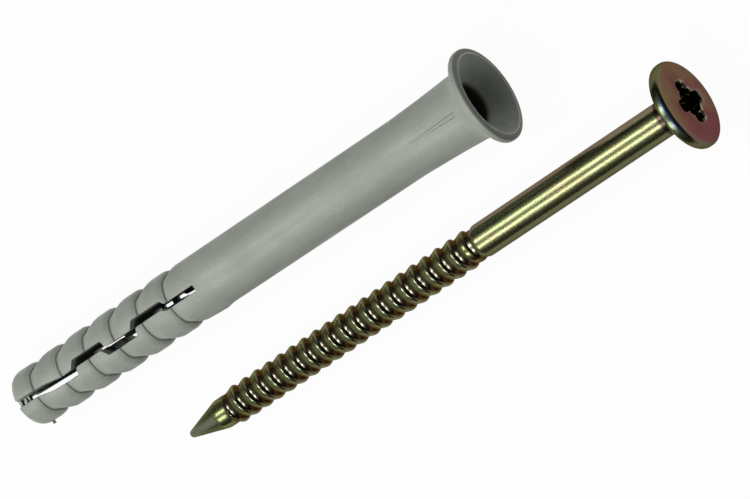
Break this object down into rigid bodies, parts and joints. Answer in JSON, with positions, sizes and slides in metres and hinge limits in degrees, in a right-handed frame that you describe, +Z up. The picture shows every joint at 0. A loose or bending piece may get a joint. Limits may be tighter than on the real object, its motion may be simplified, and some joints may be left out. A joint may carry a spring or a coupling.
{
  "type": "hammer fixing plug",
  "caption": "Hammer-in frame fixing taken apart: a barbed, slotted nylon plug sleeve with a flared collar, and its threaded nail screw with a cross recess.",
  "frame": {"origin": "bottom centre of the layout's box, on the surface that the two pieces lie on", "axes": "+X along the pieces, from their tips to their heads; +Z up; the sleeve lies on the +Y side and the nail on the -Y side"},
  "size_m": [0.0762, 0.0198, 0.0097],
  "materials": {
    "nylon": "matte grey-green moulded nylon",
    "plated_steel": "yellow passivated zinc plating on steel"
  },
  "bodies": {
    "root": {"plug_sleeve": "nylon", "nail_screw": "plated_steel"}
  },
  "joints": []
}
